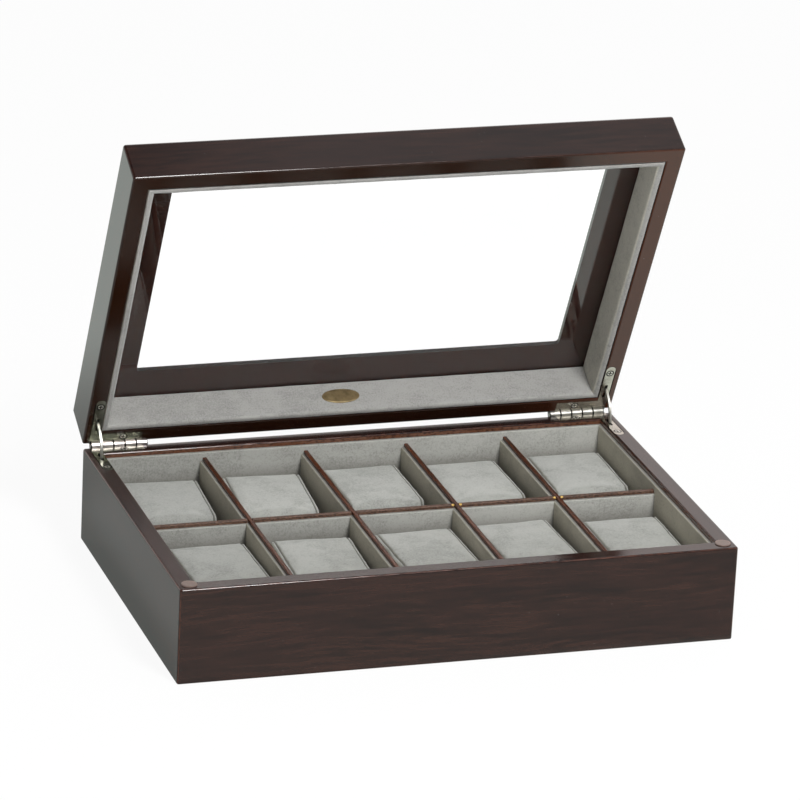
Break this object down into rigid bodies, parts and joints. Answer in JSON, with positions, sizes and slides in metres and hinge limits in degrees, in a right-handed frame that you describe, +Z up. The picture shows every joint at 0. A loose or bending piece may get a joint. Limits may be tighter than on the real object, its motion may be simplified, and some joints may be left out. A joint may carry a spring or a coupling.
{
  "type": "watch display box",
  "caption": "Lacquered wooden watch display box with a glazed hinged lid, suede-lined compartments and loose padded cushions.",
  "frame": {"origin": "middle of the case's underside, on the flat face it rests on", "axes": "+X along the hinge line, the case's long side; +Y towards the hinges; +Z up"},
  "size_m": [0.35, 0.2601, 0.284],
  "materials": {
    "lacquered_wood": "high gloss lacquer over dark espresso-stained wood with fine reddish-brown grain",
    "bottom_board": "plain dark board",
    "divider_wood": "stained brown wood, satin, slightly rough edges",
    "lining_suede": "grey micro-suede with a short mottled nap",
    "cushion_suede": "pale grey micro-suede over a padded cushion",
    "clear_bumper": "soft translucent bumper",
    "clear_glass": "clear flat glass",
    "brass": "satin brass, bare",
    "nickel": "polished nickel plate"
  },
  "bodies": {
    "base": {"base_back_liner": "lining_suede", "base_back_wall": "lacquered_wood", "base_front_liner": "lining_suede", "base_front_wall": "lacquered_wood", "base_hinge_screws": "nickel", "base_left_liner": "lining_suede", "base_left_wall": "lacquered_wood", "base_right_liner": "lining_suede", "base_right_wall": "lacquered_wood", "bottom_panel": "bottom_board", "cross_divider": "divider_wood", "cross_divider_facings": "lining_suede", "floor_liner": "lining_suede", "left_base_leaf": "nickel", "left_bumper": "clear_bumper", "left_hinge_pin": "nickel", "long_divider_1": "divider_wood", "long_divider_1_facings": "lining_suede", "long_divider_2": "divider_wood", "long_divider_2_facings": "lining_suede", "long_divider_3": "divider_wood", "long_divider_3_facings": "lining_suede", "long_divider_4": "divider_wood", "long_divider_4_facings": "lining_suede", "right_base_leaf": "nickel", "right_bumper": "clear_bumper", "right_hinge_pin": "nickel"},
    "lid": {"glass_pane": "clear_glass", "left_lid_leaf": "nickel", "lid_back_liner": "lining_suede", "lid_back_wall": "lacquered_wood", "lid_front_liner": "lining_suede", "lid_front_wall": "lacquered_wood", "lid_hinge_screws": "nickel", "lid_left_liner": "lining_suede", "lid_left_wall": "lacquered_wood", "lid_right_liner": "lining_suede", "lid_right_wall": "lacquered_wood", "lid_top_back_rail": "lacquered_wood", "lid_top_front_rail": "lacquered_wood", "lid_top_left_rail": "lacquered_wood", "lid_top_right_rail": "lacquered_wood", "oval_plate": "brass", "right_lid_leaf": "nickel"},
    "left_stay_arm": {"left_stay_arm": "nickel"},
    "right_stay_arm": {"right_stay_arm": "nickel"},
    "cushion_front_1": {"cushion_front_1": "cushion_suede"},
    "cushion_front_2": {"cushion_front_2": "cushion_suede"},
    "cushion_front_3": {"cushion_front_3": "cushion_suede"},
    "cushion_front_4": {"cushion_front_4": "cushion_suede"},
    "cushion_front_5": {"cushion_front_5": "cushion_suede"},
    "cushion_rear_1": {"cushion_rear_1": "cushion_suede"},
    "cushion_rear_2": {"cushion_rear_2": "cushion_suede"},
    "cushion_rear_3": {"cushion_rear_3": "cushion_suede"},
    "cushion_rear_4": {"cushion_rear_4": "cushion_suede"},
    "cushion_rear_5": {"cushion_rear_5": "cushion_suede"}
  },
  "joints": [
    {"name": "lid_hinge", "type": "hinge", "parent": "base", "child": "lid", "pos_m": [0, 0.118, 0.061], "axis": [-1, 0, 0], "range_deg": [-63.8, 0]},
    {"name": "left_stay_arm_swing", "type": "hinge", "parent": "base", "child": "left_stay_arm", "pos_m": [0, 0.118, 0.061], "axis": [-1, 0, 0], "range_deg": [-31.9, 0]},
    {"name": "right_stay_arm_swing", "type": "hinge", "parent": "base", "child": "right_stay_arm", "pos_m": [0, 0.118, 0.061], "axis": [-1, 0, 0], "range_deg": [-31.9, 0]},
    {"name": "cushion_front_1_lift", "type": "slide", "parent": "base", "child": "cushion_front_1", "axis": [0, 0, 1], "range_m": [0, 0.0556]},
    {"name": "cushion_front_2_lift", "type": "slide", "parent": "base", "child": "cushion_front_2", "axis": [0, 0, 1], "range_m": [0, 0.0556]},
    {"name": "cushion_front_3_lift", "type": "slide", "parent": "base", "child": "cushion_front_3", "axis": [0, 0, 1], "range_m": [0, 0.0556]},
    {"name": "cushion_front_4_lift", "type": "slide", "parent": "base", "child": "cushion_front_4", "axis": [0, 0, 1], "range_m": [0, 0.0556]},
    {"name": "cushion_front_5_lift", "type": "slide", "parent": "base", "child": "cushion_front_5", "axis": [0, 0, 1], "range_m": [0, 0.0556]},
    {"name": "cushion_rear_1_lift", "type": "slide", "parent": "base", "child": "cushion_rear_1", "axis": [0, 0, 1], "range_m": [0, 0.0556]},
    {"name": "cushion_rear_2_lift", "type": "slide", "parent": "base", "child": "cushion_rear_2", "axis": [0, 0, 1], "range_m": [0, 0.0556]},
    {"name": "cushion_rear_3_lift", "type": "slide", "parent": "base", "child": "cushion_rear_3", "axis": [0, 0, 1], "range_m": [0, 0.0556]},
    {"name": "cushion_rear_4_lift", "type": "slide", "parent": "base", "child": "cushion_rear_4", "axis": [0, 0, 1], "range_m": [0, 0.0556]},
    {"name": "cushion_rear_5_lift", "type": "slide", "parent": "base", "child": "cushion_rear_5", "axis": [0, 0, 1], "range_m": [0, 0.0556]}
  ],
  "couplings": [
    {"joint": "left_stay_arm_swing", "follows": "lid_hinge", "ratio": 0.5},
    {"joint": "right_stay_arm_swing", "follows": "lid_hinge", "ratio": 0.5}
  ]
}
